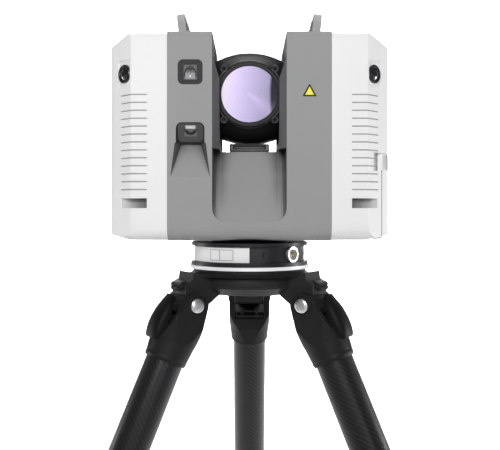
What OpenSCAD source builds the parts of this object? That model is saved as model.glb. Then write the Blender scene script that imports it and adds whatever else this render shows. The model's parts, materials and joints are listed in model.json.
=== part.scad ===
// Terrestrial laser scanner on a carbon-fibre tripod, legs collapsed.
// Row frame: origin on the ground under the vertical axis, +Z up, -Y is the front, millimetres.

/* [Scanner body] */
// Width of the scanner across its two white covers
body_w = 240; // [236:1:250]
// Depth of the scanner from front to back
body_d = 120; // [118:1:126]
// Width of the grey yoke between the white covers
yoke_w = 139; // [136:1:144]
// Height of the yoke's top above the bottom of the scanner's base
yoke_top = 201; // [198:1:206]
// Height of the yoke's underside above the bottom of the base
yoke_bottom = 23; // [22:0.5:24]
// Width of the 45 degree bevel on each vertical corner
bevel = 20; // [16:1:22]
// Wall thickness of the covers and the yoke
wall = 3; // [2.5:0.5:4]
// How far the carrying handles rise above the yoke
handle_rise = 22; // [21:1:30]

/* [Rotor] */
// Height of the mirror axis above the bottom of the base
axis_z = 151; // [149:0.5:153]
// Largest radius of the barrel-shaped rotor
rotor_r = 42; // [40:0.5:42.5]
// Half the width of the rotor
rotor_half = 31; // [29:0.5:31]
// Radius of the front window
window_r = 24.8; // [22:0.1:25]
// Distance of the window's outer face in front of the mirror axis
window_y = 32; // [30:0.5:32]

/* [Base] */
// Radius of the base ring
base_r = 50.2; // [48:0.1:51]
// Radius of the base's two flanges
flange_r = 53.4; // [52:0.1:54]

/* [Tripod] */
// Height of the scanner's base above the ground with the legs collapsed
base_z = 500; // [480:5:560]
// Angle of each leg from the vertical
spread = 24.3; // [20:0.1:26]
// Distance of the leg pivots from the vertical axis
pivot_r = 63; // [62:0.5:64]
// Outside radius of the upper leg tube
tube1_r = 16.45; // [16:0.05:16.5]
// Outside radius of the middle leg tube
tube2_r = 14.45; // [14:0.05:14.5]
// Outside radius of the lower leg tube
tube3_r = 12.45; // [12:0.05:12.5]
// Wall thickness of the carbon tubes
tube_wall = 1.5; // [1.2:0.1:1.6]

/* [Hidden] */

$fn = 64;
eps = 0.1;

// Colours
grey = [0.50, 0.50, 0.50];
white = [0.90, 0.90, 0.90];
black = [0.06, 0.06, 0.065];
dark = [0.16, 0.16, 0.17];
silver = [0.80, 0.80, 0.80];
gold = [0.83, 0.66, 0.30];
lilac = [0.80, 0.74, 0.95];
carbon = [0.13, 0.13, 0.13];

// Body outline
half_d = body_d / 2;
half_w = body_w / 2;
seam_x = yoke_w / 2;
front_edge_x = half_w - bevel;
cover_top = yoke_top - 1.4;
cover_bottom = yoke_bottom + 0.4;
top_chamfer_z = cover_top - 9.6;
bottom_chamfer_z = cover_bottom + 4.6;
bottom_round = 14;
top_round = 5;

// Notch between the columns
notch_half = 31.5;
lip_half = 26;
lip_y = 44;
lip_top_z = 163;
floor_z = 101;
pocket_r = rotor_r + 1.5;
pocket_half = rotor_half + 1;
scoop_bottom_z = 39;
scoop_top_y = 24;
scoop_round = 12;
scoop_root = 7;
scoop_angle = atan((half_d - scoop_top_y) / (floor_z - scoop_bottom_z));

// Front camera windows, on the left column
camera_x = -49.9;
upper_camera_z = 165.7;
lower_camera_z = 115.3;
bezel_side = 21;
bezel_t = 4;
bezel_seat = 1.6;
bezel_r = 4.4;
lower_bezel_w = 23.6;
lower_bezel_h = 19;
bezel_lip = 0.6;
ramp_foot_z = 77;
ramp_head_z = 106;
ramp_half = 16.8;
ramp_depth = 11;
ramp_lean = 7.2;
ramp_flare = 23.5;

// Corner cameras, on the bevels
corner_t = 6.7;
corner_z = 165;
corner_r = 7.4;

// Vents and scoops on the covers
vent_n = 13;
vent_top_z = 146.6;
vent_pitch = 6.67;
vent_h = 1.1;
vent_deep = 1.2;
vent_reach = 14.4;
vent_inner_x = 86.4;
vent_outer_x = front_edge_x + 10;
grip_z = 50.9;
grip_h = 8.3;

// Battery door, on the right cover
door_y = 46;
door_top_z = 98.2;
door_gap = 0.3;
door_hinge_x = 110;
door_hinge_z = 25.6;
knuckle_r = 2.2;
notch_z = 82.5;
notch_t0 = 5.8;

// Screen, on the left cover
screen_w = 66;
screen_h = 112;
screen_z = 112;
button_z = 44;
button_r = 6;

// Base heights, from the bottom of the base
bottom_flange_h = 3.3;
ring_top = 17.5;
flange_top = 20.5;
socket_angle = 46.8;
socket_z = 10.4;
socket_r = 4.8;

// Release button of the quick-release ring, behind and to the right
button_angle = -60;
button_pin_r = 2.4;

// Leg lengths, from the pivot down the leg
pivot_drop = 33;
pivot_z = base_z - pivot_drop;
leg_length = pivot_z / cos(spread);
casting_end = 52.5;
tube1_top = 36;
tube1_end = leg_length - 120;
collar1_end = tube1_end + 28;
tube2_top = 64;
tube2_end = collar1_end + 12;
collar2_end = tube2_end + 26;
tube3_top = 84;
tube3_end = leg_length - 30;
fork_half = 20;
fork_gap = 14.5;
ear_half = 14;
arm_half = 14.6;
nose_half = 9;
head_r = 11;
casting_top_r = 24;
tab_crown_x = 11;
tab_crown_r = 17;
bolt_r = 4;
cap_r = 6.2;
run = 0.05;

// Points of an arc about c, from angle a0 to a1
function arc(c, r, a0, a1, n = 6) =
    [for (i = [0 : n]) c + r * [cos(a0 + (a1 - a0) * i / n), sin(a0 + (a1 - a0) * i / n)]];

// Outline of a box seen from its side, with rounded top and bottom corners
function side_outline(d, low, high, r_low, r_high) = concat(
    arc([-d + r_low, low + r_low], r_low, 180, 270, 8),
    arc([d - r_low, low + r_low], r_low, 270, 360, 8),
    arc([d - r_high, high - r_high], r_high, 0, 90, 4),
    arc([-d + r_high, high - r_high], r_high, 90, 180, 4));

// Lifts a piece of the scanner onto the tripod
module on_tripod() translate([0, 0, base_z]) children();

// Extrudes a YZ outline from x0 to x1
module along_x(x0, x1) translate([x0, 0, 0]) rotate([90, 0, 90]) linear_extrude(x1 - x0) children();

// Extrudes an XZ outline from y0 to y1
module along_y(y0, y1) translate([0, y1, 0]) rotate([90, 0, 0]) linear_extrude(y1 - y0) children();

module box(low, high) translate(low) cube(high - low);

// An upright plate with rounded corners, from y0 to y1
module rounded_plate(w, h, r, y0, y1) along_y(y0, y1) polygon(concat(
    arc([w / 2 - r, h / 2 - r], r, 0, 90), arc([-w / 2 + r, h / 2 - r], r, 90, 180),
    arc([-w / 2 + r, -h / 2 + r], r, 180, 270), arc([w / 2 - r, -h / 2 + r], r, 270, 360)));

module ring(r_out, r_in, z0, z1) difference() {
    translate([0, 0, z0]) cylinder(h = z1 - z0, r = r_out);
    translate([0, 0, z0 - 1]) cylinder(h = z1 - z0 + 2, r = r_in);
}

// A rod along X between x0 and x1 on the mirror axis
module rod_x(r, x0, x1, y = 0, z = axis_z)
    translate([x0, y, z]) rotate([0, 90, 0]) cylinder(h = x1 - x0, r = r);

// A rod along Y between y0 and y1
module rod_y(r, y0, y1, x = 0, z = axis_z)
    translate([x, y1, z]) rotate([90, 0, 0]) cylinder(h = y1 - y0, r = r);

// Places children on the right front bevel: X across it, Y into the body, Z up
module on_bevel(t, z) translate([front_edge_x + t, -half_d + t, z]) rotate([0, 0, 45]) children();

module front_and_back() {
    children();
    mirror([0, 1, 0]) children();
}

module both_sides() {
    children();
    mirror([1, 0, 0]) children();
}

// ---- Yoke -------------------------------------------------------------------------------------

module notch_cut() {
    flare = [[notch_half, -half_d - eps], [lip_half, -lip_y], [lip_half, lip_y], [notch_half, half_d + eps]];
    left_flare = [for (i = [3 : -1 : 0]) [-flare[i][0], flare[i][1]]];
    translate([0, 0, floor_z]) linear_extrude(120) polygon(concat(flare, left_flare));
    along_y(-half_d - 1, half_d + 1)
        polygon([[-lip_half, lip_top_z], [lip_half, lip_top_z], [notch_half, lip_top_z + 18],
            [notch_half, 230], [-notch_half, 230], [-notch_half, lip_top_z + 18]]);
    rod_x(pocket_r, -pocket_half, pocket_half);
    front_and_back() scoop_cut();
}

// The sloping scoop that keeps the yoke out of the beam below the rotor, rounded where it meets the walls
module scoop_cut() intersection() {
    translate([0, -scoop_top_y, floor_z]) rotate([-scoop_angle, 0, 0]) translate([0, 0, -90])
        linear_extrude(100) polygon(concat([[-notch_half, -70]], arc([-notch_half + scoop_root, -scoop_root],
            scoop_root, 180, 90, 5), arc([notch_half - scoop_root, -scoop_root], scoop_root, 90, 0, 5),
            [[notch_half, -70]]));
    translate([0, 0, scoop_bottom_z - 1]) linear_extrude(floor_z - scoop_bottom_z + 2)
        polygon([[-notch_half, -half_d - 1], [notch_half, -half_d - 1], [notch_half, 0], [-notch_half, 0]]);
    along_y(-half_d - 1, 0) polygon(concat(
        arc([-notch_half + scoop_round, scoop_bottom_z + scoop_round], scoop_round, 180, 270),
        arc([notch_half - scoop_round, scoop_bottom_z + scoop_round], scoop_round, 270, 360),
        [[notch_half, floor_z + 1], [-notch_half, floor_z + 1]]));
}

// Hollow inside each column and under the notch floor
module yoke_hollow() {
    both_sides() along_x(pocket_half + 3.5, seam_x + eps) polygon(side_outline(half_d - wall,
        yoke_bottom + wall, yoke_top - wall, bottom_round - wall, top_round - wall + 1));
    along_x(-pocket_half - 4, pocket_half + 4)
        polygon([[-half_d + 14, yoke_bottom + wall], [half_d - 14, yoke_bottom + wall], [half_d - 19, 36],
            [scoop_top_y - 8, floor_z - 6], [-scoop_top_y + 8, floor_z - 6], [-half_d + 19, 36]]);
}

// One flared wall of the ramp: it leans in towards the camera and narrows as it goes deeper
module ramp_wall() translate([ramp_half, -half_d, ramp_foot_z]) rotate([0, -ramp_lean, 0])
    rotate([0, 0, ramp_flare]) box([-60, -20, -20], [0, 30, 50]);

// The ramp under the lower front camera, deepest at the camera, and the room in front of its bezel
module camera_ramp() {
    intersection() {
        along_x(camera_x - 20, camera_x + 20) polygon([[-half_d - eps, ramp_foot_z],
            [-half_d + ramp_depth, ramp_head_z], [-half_d - eps, ramp_head_z]]);
        translate([camera_x, 0, 0]) ramp_wall();
        translate([camera_x, 0, 0]) mirror([1, 0, 0]) ramp_wall();
    }
    lower_camera_place() rounded_plate(lower_bezel_w, lower_bezel_h, bezel_r, -1, bezel_seat);
    lower_camera_place() rounded_plate(lower_bezel_w + bezel_lip, lower_bezel_h + bezel_lip,
        bezel_r + bezel_lip / 2, -14, -0.2);
}

// Solid backing that closes the yoke behind the ramp
module ramp_backing() along_x(camera_x - 19.5, camera_x + 19.5)
    polygon([[-half_d + 1, 72], [-half_d + wall + 1, 72], [-half_d + 15, 104], [-half_d + 15, 108],
        [-half_d + 5, 127], [-half_d + 1, 127]]);

module yoke_housing() color(grey) on_tripod() difference() {
    union() {
        difference() {
            along_x(-seam_x, seam_x)
                polygon(side_outline(half_d, yoke_bottom, yoke_top, bottom_round, top_round));
            yoke_hollow();
        }
        ramp_backing();
        both_sides() rod_x(18, pocket_half + 1, pocket_half + 11);
    }
    notch_cut();
    camera_ramp();
    translate([camera_x, -half_d, upper_camera_z])
        rounded_plate(bezel_side, bezel_side, bezel_r, -1, bezel_t);
    both_sides() rod_x(14, pocket_half - 1, pocket_half + 12);
    translate([0, 0, yoke_bottom - 1]) cylinder(h = 6, r = 18);
}

// Flanged tube that carries the yoke and turns in the base
module azimuth_shaft() color(dark) on_tripod() difference() {
    union() {
        translate([0, 0, 8]) cylinder(h = 22, r = 18);
        translate([0, 0, flange_top + 0.3]) cylinder(h = yoke_bottom - flange_top - 0.3, r = 32);
    }
    translate([0, 0, 7]) cylinder(h = 24, r = 14);
}

// ---- Covers -----------------------------------------------------------------------------------

// Solid shape of the right cover, each outer face moved in by the inset
module cover_solid(inset = 0) intersection() {
    e = inset * 0.4142;
    translate([0, 0, 0]) linear_extrude(230)
        polygon([[seam_x, -half_d + inset], [front_edge_x - e, -half_d + inset],
            [half_w - inset, -half_d + bevel + e], [half_w - inset, half_d - bevel - e],
            [front_edge_x - e, half_d - inset], [seam_x, half_d - inset]]);
    along_y(-half_d - 1, half_d + 1)
        polygon([[seam_x - 1, cover_bottom + inset], [front_edge_x - 2, cover_bottom + inset],
            [half_w - inset, bottom_chamfer_z + inset * 0.8], [half_w - inset, top_chamfer_z - inset * 0.6],
            [front_edge_x - inset * 0.3, cover_top - inset], [seam_x - 1, cover_top - inset]]);
    along_x(seam_x, half_w)
        polygon(side_outline(half_d - inset, cover_bottom + inset, cover_top - inset,
            bottom_round - inset, top_round - inset * 0.9));
}

// Thin grooves that cross the front face and the bevel
module vent_slots() for (i = [0 : vent_n - 1]) {
    z = vent_top_z - i * vent_pitch;
    box([vent_inner_x, -half_d - 1, z - vent_h / 2],
        [front_edge_x + 0.5, -half_d + vent_deep, z + vent_h / 2]);
    on_bevel(0, z) box([0, -1, -vent_h / 2], [vent_reach, vent_deep, vent_h / 2]);
}

// The wedge-shaped grip under the vents, deepest at its inner end
module grip_cut(z = grip_z, h = grip_h) translate([0, 0, z]) linear_extrude(h)
    polygon([[vent_inner_x, -half_d - 1], [vent_inner_x, -half_d + 6], [vent_outer_x, -half_d + 10],
        [vent_outer_x, -half_d - 1]]);

module grip_backing() translate([0, 0, grip_z - 2]) linear_extrude(grip_h + 4)
    polygon([[vent_inner_x - 2, -half_d + 1], [vent_inner_x - 2, -half_d + 8],
        [vent_outer_x - 1, -half_d + 12.5], [vent_outer_x - 1, -half_d + 11.5],
        [front_edge_x, -half_d + 1.5]]);

// Shallow seat and hole for a corner camera
module corner_camera_cut() {
    on_bevel(corner_t, corner_z) box([-8.2, -2, -11.4], [8.4, 1.2, 11.4]);
    on_bevel(corner_t, corner_z) rotate([-90, 0, 0]) translate([0, 0, -2]) cylinder(h = 12, r = corner_r);
}

module cover_shell() difference() {
    union() {
        difference() {
            cover_solid();
            cover_solid(wall);
        }
        intersection() {
            cover_solid();
            front_and_back() grip_backing();
        }
    }
    front_and_back() {
        vent_slots();
        grip_cut();
        corner_camera_cut();
    }
}

module left_cover() color(white) on_tripod() difference() {
    mirror([1, 0, 0]) cover_shell();
    box([-half_w - 1, -screen_w / 2, screen_z - screen_h / 2],
        [-half_w + 5, screen_w / 2, screen_z + screen_h / 2]);
    rod_x(button_r + 0.2, -half_w - 1, -half_w + 5, 0, button_z);
}

// Space that the battery door fills in the right cover
module door_space(gap) box([door_hinge_x, -door_y + gap, cover_bottom - 2],
    [half_w + 1, door_y - gap, door_top_z - gap]);

// Finger notch beside the door's top front corner
module finger_notch() on_bevel(0, notch_z)
    box([notch_t0 * sqrt(2), -1, 0], [14.4 * sqrt(2), 4.5, door_top_z - notch_z]);

module right_cover() color(white) on_tripod() difference() {
    union() {
        cover_shell();
        intersection() {
            cover_solid();
            on_bevel(0, notch_z) box([6, 1, -2], [20, 7, door_top_z - notch_z + 2]);
        }
    }
    finger_notch();
    door_space(0);
    rod_y(knuckle_r + 0.3, -door_y, door_y, door_hinge_x, door_hinge_z);
}

module battery_door() color(white) on_tripod() {
    difference() {
        intersection() {
            cover_solid();
            difference() {
                door_space(door_gap);
                box([door_hinge_x - 1, -door_y, cover_bottom - 3],
                    [door_hinge_x + 2.5, door_y, door_hinge_z + 3]);
            }
        }
        cover_solid(wall);
        box([half_w - 1.5, -44, 83], [half_w + 1, -29, 97]);
    }
    // Knuckles and pin along the door's foot
    for (y = [-38, 26]) rod_y(knuckle_r, y, y + 12, door_hinge_x, door_hinge_z);
    for (y = [-38, 26])
        box([door_hinge_x, y, door_hinge_z - 1], [door_hinge_x + 4.2, y + 12, door_hinge_z + 2.2]);
}

// Sliding catch let into the door, which moves back to free it
module door_latch() color(silver) on_tripod()
    box([half_w - 1.4, -43.6, 83.4], [half_w + 0.4, -34.6, 96.6]);

module batteries() color(dark) on_tripod() for (y = [-40, 1])
    box([78, y, 34], [109, y + 39, 92]);

// ---- Handles, cameras, screen and small pieces ---------------------------------------------------

handle_reach = 46;
handle_inner_r = 14;

module handle_outline() difference() {
    polygon(concat([[handle_reach, 0]], arc([handle_reach - 22, handle_rise - 20], 20, 20, 90),
        arc([-handle_reach + 22, handle_rise - 20], 20, 90, 160), [[-handle_reach, 0]]));
    polygon(concat([[handle_reach - 8, -1]],
        arc([handle_reach - 22, handle_rise - 20], handle_inner_r, 10, 90),
        arc([-handle_reach + 22, handle_rise - 20], handle_inner_r, 90, 170), [[-handle_reach + 8, -1]]));
}

module carry_handles() color(grey) on_tripod() both_sides() difference() {
    translate([57.5, 0, yoke_top]) rotate([0, 8, 0]) union() {
        along_x(-3.5, 3.5) handle_outline();
        along_x(-3.5, 3.5) translate([0, -1.2]) square([2 * handle_reach, 2.4], center = true);
    }
    box([20, -60, yoke_top - 10], [90, 60, yoke_top]);
}

// Bezel of the upper front camera, and the tilted bezel of the lower one
module bezel_plate(w, h, t) difference() {
    rounded_plate(w, h, bezel_r, 0, t);
    box([-6, -1, -6.5], [6, t + 1, 6.5]);
}

module lower_camera_place() translate([camera_x, -half_d + 6, lower_camera_z]) rotate([28, 0, 0]) children();

module camera_bezels() color(dark) on_tripod() {
    translate([camera_x, -half_d + 0.6, upper_camera_z]) bezel_plate(bezel_side, bezel_side, bezel_t - 0.6);
    lower_camera_place() translate([0, bezel_seat - 2.2, 0]) bezel_plate(lower_bezel_w, lower_bezel_h, 2.2);
}

module camera_windows() color(silver) on_tripod() {
    translate([camera_x, -half_d + 1.2, upper_camera_z]) box([-6, 0, -6.5], [6, 1.5, 6.5]);
    lower_camera_place() box([-6, 0, -6.5], [6, 1.2, 6.5]);
}

module camera_modules() color(dark) on_tripod() {
    rod_y(6, -half_d + 6, -half_d + 22, camera_x, upper_camera_z);
    lower_camera_place() translate([0, 14, 0]) rotate([90, 0, 0]) cylinder(h = 6, r = 6);
}

module corner_barrels() color(black) on_tripod() both_sides() front_and_back() on_bevel(corner_t, corner_z)
    rotate([-90, 0, 0]) difference() {
        translate([0, 0, 0.2]) cylinder(h = 9, r = corner_r - 0.1);
        translate([0, 0, -1]) cylinder(h = 4, r = corner_r - 1.6);
    }

module corner_lenses() color(dark) on_tripod() both_sides() front_and_back() on_bevel(corner_t, corner_z)
    rotate([-90, 0, 0]) translate([0, 0, 1]) cylinder(h = 2, r = corner_r - 1.7);

module warning_plate() color("gold") on_tripod()
    along_y(-half_d - 0.3, -half_d) polygon([[45, 145.2], [56.4, 145.2], [50.7, 155.5]]);

// Reference target under the rotor
module target_bracket() color(grey) on_tripod() difference() {
    box([-17.5, -22, floor_z], [17.5, -10, floor_z + 7.2]);
    box([-14.6, -23, floor_z + 2.6], [14.6, -20.5, floor_z + 5.4]);
}

module screen_bezel() color(black) on_tripod() difference() {
    box([-half_w - 0.5, -screen_w / 2 + 0.1, screen_z - screen_h / 2 + 0.1],
        [-half_w + 3, screen_w / 2 - 0.1, screen_z + screen_h / 2 - 0.1]);
    box([-half_w - 1, -29, screen_z - 50], [-half_w + 1, 29, screen_z + 50]);
}

module touch_screen() color(dark) on_tripod()
    box([-half_w - 0.2, -28.9, screen_z - 49.9], [-half_w + 1, 28.9, screen_z + 49.9]);

module power_button() color(silver) on_tripod() rod_x(button_r, -half_w - 0.8, -half_w + 4, 0, button_z);

// ---- Drive inside the head ------------------------------------------------------------------------

module rotor_bearings() color(silver) on_tripod() both_sides() difference() {
    rod_x(14, pocket_half + 2, pocket_half + 10);
    rod_x(8 + run, pocket_half, pocket_half + 12);
}

module drive_motor() color(dark) on_tripod() difference() {
    rod_x(20, pocket_half + 12, pocket_half + 32);
    rod_x(8 + 2 * run, pocket_half + 11, pocket_half + 30);
}

module laser_module() color(dark) on_tripod() rod_x(16, -pocket_half - 33, -pocket_half - 13);

// ---- Rotor ------------------------------------------------------------------------------------------

barrel_curve = 65;
screw_at = 22.4;
ring_r = 27.4;
mirror_y = 25;

module rotor_drum() color(black) on_tripod() difference() {
    union() {
        translate([0, 0, axis_z]) rotate([0, 90, 0]) rotate_extrude($fn = 96)
            polygon(concat([[0, -rotor_half]], [for (i = [-8 : 8]) let (x = rotor_half * i / 8)
                [rotor_r - barrel_curve + sqrt(barrel_curve * barrel_curve - x * x), x]],
                [[0, rotor_half]]));
        rod_y(ring_r, -window_y - 1, -20);
    }
    difference() {
        box([-50, -60, axis_z - 50], [50, -window_y, axis_z + 50]);
        rod_y(ring_r, -window_y - 1, -window_y + 1);
    }
    rod_y(window_r + 0.05, -60, mirror_y);
    rod_x(5.5, -rotor_half - 1, 0);
    for (x = [-screw_at, screw_at], z = [-screw_at, screw_at])
        translate([x, -28.5, axis_z + z]) rotate([90, 0, 0]) cylinder(h = 10, r = 3.4);
}

module rotor_shaft() color(silver) on_tripod() {
    difference() {
        rod_x(8, -rotor_half - 13, -rotor_half);
        rod_x(5.5, -rotor_half - 14, -rotor_half + 1);
    }
    rod_x(8, rotor_half, rotor_half + 26);
}

module front_window() color(lilac) on_tripod() rod_y(window_r, -window_y - 0.6, -window_y + 2);

// Flat mirror at 45 degrees, turned to send the beam from the left column out of the window
module rotor_mirror() color(silver) on_tripod() intersection() {
    rod_y(window_r, -26, mirror_y);
    translate([0, 0, axis_z]) rotate([0, 0, -45]) translate([0, 1.5, 0]) cube([80, 3, 60], center = true);
}

module rotor_screws() color(silver) on_tripod() for (x = [-screw_at, screw_at], z = [-screw_at, screw_at])
    translate([x, -28.5, axis_z + z]) rotate([90, 0, 0]) difference() {
        cylinder(h = 1.6, r = 2.7);
        translate([0, 0, 0.6]) cylinder(h = 2, r = 1.3, $fn = 6);
    }

// ---- Base ---------------------------------------------------------------------------------------------

module at_socket()
    rotate([0, 0, socket_angle]) translate([0, -base_r, socket_z]) rotate([90, 0, 0]) children();

module base_ring() color(dark) on_tripod() difference() {
    translate([0, 0, bottom_flange_h]) cylinder(h = ring_top - bottom_flange_h, r = base_r, $fn = 128);
    translate([0, 0, 7]) cylinder(h = 12, r = 26);
    translate([0, 0, 2]) cylinder(h = 8, r = 19);
    at_socket() translate([0, 0, -9]) cylinder(h = 12, r = 6.6);
}

module base_flanges() color(black) on_tripod() {
    ring(flange_r - 0.3, 19, ring_top, flange_top);
    difference() {
        union() {
            cylinder(h = bottom_flange_h, r = flange_r, $fn = 128);
            translate([0, 0, -2.5]) cylinder(h = 3, r = 30);
        }
        translate([0, 0, -3]) cylinder(h = 8, r = 19);
    }
}

// Silver type label wrapped round the left front of the base, left blank
module label_band() color(silver) on_tripod() intersection() {
    ring(base_r + 0.35, base_r, bottom_flange_h + 0.6, ring_top - 0.6);
    translate([0, 0, -1]) linear_extrude(30) polygon(concat([[0, 0]], arc([0, 0], 60, 186, 270, 8)));
}

module socket_shell() color(silver) on_tripod() at_socket() difference() {
    translate([0, 0, -7]) cylinder(h = 9.6, r = 6.55);
    translate([0, 0, -3.4]) cylinder(h = 7, r = socket_r);
    translate([0, 0, -8]) cylinder(h = 6, r = 4.3);
}

module socket_insert() color(black) on_tripod() at_socket() difference() {
    translate([0, 0, -7]) cylinder(h = 3.6, r = 4.3);
    for (a = [0 : 72 : 288]) rotate([0, 0, a]) translate([2.6, 0, -5.5]) cylinder(h = 4, r = 0.65);
}

module socket_pins() color(gold) on_tripod() at_socket() for (a = [0 : 72 : 288])
    rotate([0, 0, a]) translate([2.6, 0, -5.5]) cylinder(h = 1.8, r = 0.65);

module azimuth_bearing() color(silver) on_tripod() ring(26, 18 + run, 8, 16);

// ---- Tripod head ----------------------------------------------------------------------------------------

module quick_release_ring() color(silver) on_tripod() ring(54.4, 30.1, -3, 0);

module top_plate() color(black) on_tripod() difference() {
    union() {
        translate([0, 0, -6]) cylinder(h = 3, r = 51.6, $fn = 128);
        translate([0, 0, -9]) cylinder(h = 3, r1 = 56, r2 = 52, $fn = 128);
    }
    translate([0, 0, -3.5]) cylinder(h = 2, r = 30.1);
    rotate([0, 0, button_angle]) rod_y(button_pin_r + 0.1, 42, 60, 0, -6);
}

module release_button() color(silver) on_tripod()
    rotate([0, 0, button_angle]) rod_y(button_pin_r, 46, 57.5, 0, -6);

// Profiles of an arm and its nose in the plane of the leg: radius and height from the bottom of the base
arm_profile = [[22, -9.6], [54, -9.6], [56.4, -9.2], [63.8, -4.8], [64.8, -11.4], [70, -13.8], [68, -18.6],
    [22, -18.6]];
nose_profile = [[50, -11.5], [68, -12.4], [73.6, -13.4], [75.4, -15.6], [73.4, -18.4], [50, -18.4]];

module at_leg(azimuth) on_tripod() rotate([0, 0, azimuth]) children();

module hub_casting() color(dark) on_tripod() difference() {
    union() {
        rotate_extrude($fn = 96) polygon([[0, -26], [38, -26], [50, -19], [50, -9], [0, -9]]);
        for (a = [90, 210, 330]) rotate([0, 0, a]) {
            along_y(-arm_half, arm_half) polygon(arm_profile);
            along_y(-nose_half, nose_half) polygon(nose_profile);
            rod_y(12, -ear_half, ear_half, pivot_r, -pivot_drop);
            along_y(-ear_half, ear_half)
                polygon([[30, -14], [pivot_r + 8, -14], [pivot_r + 8, -pivot_drop],
                    [pivot_r - 5, -pivot_drop - 7], [34, -22]]);
        }
    }
    for (a = [90, 210, 330]) rotate([0, 0, a]) rod_y(bolt_r, -30, 30, pivot_r, -pivot_drop);
    translate([0, 0, -27]) cylinder(h = 14, r = 9);
}

module hub_socket() color(silver) on_tripod() difference() {
    translate([0, 0, -27]) cylinder(h = 14, r = 9);
    translate([0, 0, -28]) cylinder(h = 13, r = 4.76);
}

module leg_pivot_bolts() color(silver) on_tripod() for (a = [90, 210, 330]) rotate([0, 0, a])
    translate([pivot_r, 0, -pivot_drop]) {
        rotate([90, 0, 0]) translate([0, 0, -fork_half]) cylinder(h = 2 * fork_half, r = bolt_r);
        for (s = [-90, 90]) rotate([s, 0, 0]) translate([0, 0, fork_half - 1.4])
            cylinder(h = 2.2, r1 = cap_r, r2 = cap_r - 1.4);
    }

// ---- Legs -------------------------------------------------------------------------------------------------

// Leg frame: origin at the pivot, -Z down the leg, +X outwards
module in_leg(azimuth)
    at_leg(azimuth) translate([pivot_r, 0, -pivot_drop]) rotate([0, -spread, 0]) children();

// A rod down the leg from l0 to l1 below the pivot
module down_leg(r, l0, l1) translate([0, 0, -l1]) cylinder(h = l1 - l0, r = r);

// Side outline of the casting: the fork's round head, widening to the tube socket
casting_outline = concat(arc([0, 0], head_r, 12, 168, 12),
    [[-13, -12], [-15.8, -26], [-17.4, -34], [-18.4, -casting_end + 2], [-16.9, -casting_end],
    [17.4, -casting_end], [18.8, -casting_end + 2], [18.2, -36], [15.6, -23], [12.8, -10]]);

module leg_casting(azimuth) color(dark) in_leg(azimuth) difference() {
    intersection() {
        along_y(-fork_half, fork_half) polygon(casting_outline);
        rotate_extrude($fn = 96) polygon([[0, 14], [casting_top_r, 14], [casting_top_r, -18], [20, -36],
            [18.6, -casting_end + 3], [17.3, -casting_end], [0, -casting_end]]);
    }
    along_y(-fork_gap, fork_gap) polygon([[-30, 40], [60, 40], [60, -22], [-30, -22]]);
    down_leg(tube1_r, tube1_top, casting_end + 1);
    rod_y(bolt_r + run, -30, 30, 0, 0);
    for (s = [-90, 90]) rotate([s, 0, 0]) translate([0, 0, fork_half - 1.5]) cylinder(h = 4, r = cap_r + 0.5);
}

module upper_tube(azimuth) color(carbon) in_leg(azimuth) difference() {
    down_leg(tube1_r, tube1_top, tube1_end);
    down_leg(tube1_r - tube_wall, tube1_top - 1, tube1_end + 1);
}

// Outline of the pull-out tab: distance out from the leg's axis, height above the pivot
tab_outline = [[15.5, 0.5], [20.6, 1], [22.6, -6], [24.6, -13], [25.6, -19], [25.9, -25], [25.4, -32],
    [24.2, -37.6], [23.2, -38.6], [20.4, -38.6], [20.4, -21.5], [15.5, -20.5]];

module angle_tab(azimuth) color(black) in_leg(azimuth) intersection() {
    along_y(-12.6, 12.6) polygon(tab_outline);
    translate([tab_crown_x, 0, -50]) cylinder(h = 60, r = tab_crown_r);
}

// Twist-lock collar: its top turns on one tube and its bottom nozzle on the next
module collar(r_tube, r_next, l0, l1) difference() {
    union() {
        down_leg(r_tube + 4.5, l0, l1 - 6);
        translate([0, 0, -l1]) cylinder(h = 6, r1 = r_next + 2.4, r2 = r_tube + 4.5);
    }
    down_leg(r_tube + run, l0 - 1, l1 - 8);
    down_leg(r_next + run, l0, l1 + 1);
}

module upper_collar(azimuth) color(black) in_leg(azimuth)
    collar(tube1_r, tube2_r, tube1_end - 10, collar1_end);

module lower_collar(azimuth) color(black) in_leg(azimuth)
    collar(tube2_r, tube3_r, tube2_end - 10, collar2_end);

module middle_tube(azimuth) color(carbon) in_leg(azimuth) difference() {
    down_leg(tube2_r, tube2_top, tube2_end);
    down_leg(tube2_r - tube_wall, tube2_top - 1, tube2_end + 1);
}

// Lower tube and its rubber foot, two solids that travel together
module lower_tube(azimuth) color(carbon) {
    in_leg(azimuth) difference() {
        down_leg(tube3_r, tube3_top, tube3_end);
        down_leg(tube3_r - tube_wall, tube3_top - 1, tube3_end + 1);
    }
    difference() {
        in_leg(azimuth) difference() {
            union() {
                down_leg(tube3_r + 3, collar2_end + 3, leg_length - 14);
                translate([0, 0, -leg_length + 5]) sphere(r = tube3_r + 3.4);
            }
            down_leg(tube3_r, collar2_end, tube3_end);
        }
        translate([0, 0, -50]) cube([2000, 2000, 100], center = true);
    }
}

// ---- Assembly ---------------------------------------------------------------------------------------------

hub_casting();
top_plate();
quick_release_ring();
release_button();
hub_socket();
leg_pivot_bolts();
base_ring();
base_flanges();
label_band();
socket_shell();
socket_insert();
socket_pins();
azimuth_bearing();
yoke_housing();
azimuth_shaft();
left_cover();
right_cover();
carry_handles();
camera_bezels();
camera_modules();
camera_windows();
corner_barrels();
corner_lenses();
warning_plate();
target_bracket();
screen_bezel();
touch_screen();
power_button();
battery_door();
door_latch();
batteries();
rotor_bearings();
drive_motor();
laser_module();
rotor_drum();
rotor_shaft();
front_window();
rotor_mirror();
rotor_screws();
for (leg = [["rear", 90], ["left", 210], ["right", 330]]) {
    leg_casting(leg[1]);
    upper_tube(leg[1]);
    angle_tab(leg[1]);
    upper_collar(leg[1]);
    middle_tube(leg[1]);
    lower_collar(leg[1]);
    lower_tube(leg[1]);
}
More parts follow.
